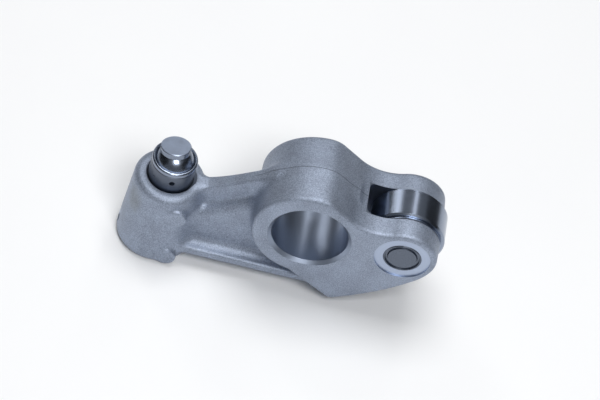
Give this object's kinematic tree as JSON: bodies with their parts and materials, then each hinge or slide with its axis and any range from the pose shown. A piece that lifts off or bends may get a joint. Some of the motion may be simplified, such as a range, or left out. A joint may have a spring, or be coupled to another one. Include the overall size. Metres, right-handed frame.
{
  "type": "roller rocker arm",
  "caption": "Cast rocker arm for a valve train, with a needle roller in its fork, a plain shaft bore and a hydraulic lash adjuster with a swivel foot.",
  "frame": {"origin": "middle of the shaft bore, on its axis", "axes": "+Y along the shaft bore, +Z parallel to the adjuster's axis towards the swivel foot, +X towards the roller"},
  "size_m": [0.0827, 0.0218, 0.0415],
  "materials": {
    "cast_aluminium": "shot-blasted, fine grained",
    "ground_steel": "ground and polished",
    "pin_steel": "ground, staked ends",
    "washer_steel": "ground",
    "sleeve_steel": "fine turned",
    "ring_steel": "rolled bright",
    "foot_steel": "ground face, polished neck",
    "inner_steel": "ground",
    "spring_steel": "drawn wire",
    "bearing_steel": "polished"
  },
  "bodies": {
    "rocker": {"rocker_casting": "cast_aluminium", "roller_pin": "pin_steel", "thrust_washer_front": "washer_steel", "thrust_washer_back": "washer_steel", "adjuster_plunger": "inner_steel", "check_cage": "inner_steel", "plunger_spring": "spring_steel", "check_spring": "spring_steel", "stop_ring": "spring_steel", "gallery_plug": "bearing_steel"},
    "roller": {"roller_ring": "ground_steel"},
    "needles": {"needle_01": "bearing_steel", "needle_02": "bearing_steel", "needle_03": "bearing_steel", "needle_04": "bearing_steel", "needle_05": "bearing_steel", "needle_06": "bearing_steel", "needle_07": "bearing_steel", "needle_08": "bearing_steel", "needle_09": "bearing_steel", "needle_10": "bearing_steel", "needle_11": "bearing_steel", "needle_12": "bearing_steel", "needle_13": "bearing_steel", "needle_14": "bearing_steel", "needle_15": "bearing_steel", "needle_16": "bearing_steel", "needle_17": "bearing_steel", "needle_18": "bearing_steel"},
    "adjuster": {"adjuster_sleeve": "sleeve_steel"},
    "foot_ring": {"retaining_ring": "ring_steel"},
    "foot": {"swivel_foot": "foot_steel"},
    "valve_ball": {"check_ball": "bearing_steel"}
  },
  "joints": [
    {"name": "roller_spin", "type": "hinge", "parent": "rocker", "child": "roller", "pos_m": [0.0244, 0, 0.0006], "axis": [0, 1, 0], "continuous": true},
    {"name": "needle_orbit", "type": "hinge", "parent": "rocker", "child": "needles", "pos_m": [0.0244, 0, 0.0006], "axis": [0, 1, 0], "continuous": true},
    {"name": "lash_slide", "type": "slide", "parent": "rocker", "child": "adjuster", "axis": [0, 0, 1], "range_m": [-0.0025, 0], "stiffness_N_per_m": 2000, "springref_m": 0.002, "deforming": ["plunger_spring"]},
    {"name": "foot_turn", "type": "hinge", "parent": "adjuster", "child": "foot_ring", "pos_m": [-0.038, 0, 0.0034], "axis": [0, 0, 1], "continuous": true},
    {"name": "foot_tilt", "type": "hinge", "parent": "foot_ring", "child": "foot", "pos_m": [-0.038, 0, 0.0034], "axis": [-0.8746, -0.4848, 0], "range_deg": [-25, 0]},
    {"name": "ball_lift", "type": "slide", "parent": "rocker", "child": "valve_ball", "axis": [0, 0, 1], "range_m": [0, 0.0003], "stiffness_N_per_m": 60, "springref_m": -0.0005, "deforming": ["check_spring"]}
  ],
  "couplings": [
    {"joint": "needle_orbit", "follows": "roller_spin", "ratio": 0.58541}
  ]
}
